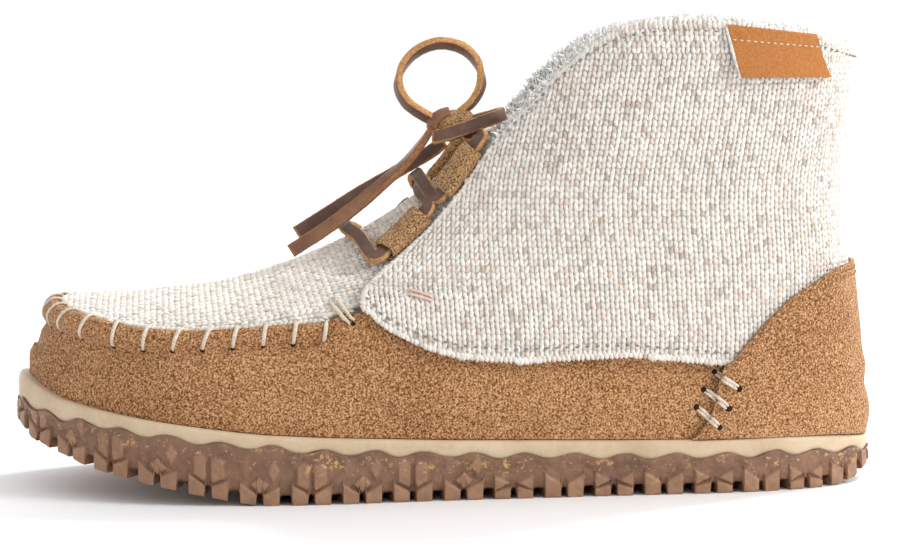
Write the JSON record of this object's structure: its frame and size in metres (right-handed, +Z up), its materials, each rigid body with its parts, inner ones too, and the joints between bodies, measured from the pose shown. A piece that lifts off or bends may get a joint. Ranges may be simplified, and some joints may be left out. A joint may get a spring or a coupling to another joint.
{
  "type": "moccasin ankle boot",
  "caption": "Left moccasin ankle boot: suede lower, knit plug and shaft, furry lining, flat thong lace tied in a bow through suede loops, lugged rubber sole.",
  "frame": {"origin": "centre of the boot's footprint on the floor, halfway between the toe and the heel of the outsole", "axes": "+X from toe to heel, -Y towards the wearer's left (outer) side, +Z up; the boot stands on z = 0"},
  "size_m": [0.2698, 0.0982, 0.1467],
  "materials": {
    "brown_rubber": "translucent-looking brown rubber, satin, with lighter worn spots",
    "cream_rubber": "smooth cream rubber band, satin",
    "tan_suede": "pebbled tan suede, matte with a short nap",
    "melange_knit": "off-white wool knit with grey and brown flecks",
    "lining_pile": "white fleece pile",
    "loop_suede": "coarse tan suede",
    "lace_leather": "dark brown leather thong with tan cut edges",
    "label_twill": "rust orange twill with a dashed cream stitch line"
  },
  "bodies": {
    "root": {"outsole": "brown_rubber", "midsole": "cream_rubber", "insole": "lining_pile", "upper": "tan_suede", "plug_tongue": "melange_knit", "shaft": "melange_knit", "heel_counter": "tan_suede", "collar_pile": "lining_pile", "loop_outer_low": "loop_suede", "loop_outer_high": "loop_suede", "loop_inner_low": "loop_suede", "loop_inner_high": "loop_suede", "lace_run": "lace_leather", "lace_loop_up": "lace_leather", "lace_loop_side": "lace_leather", "lace_end_near": "lace_leather", "lace_end_far": "lace_leather", "lace_knot": "lace_leather", "label": "label_twill"}
  },
  "joints": []
}
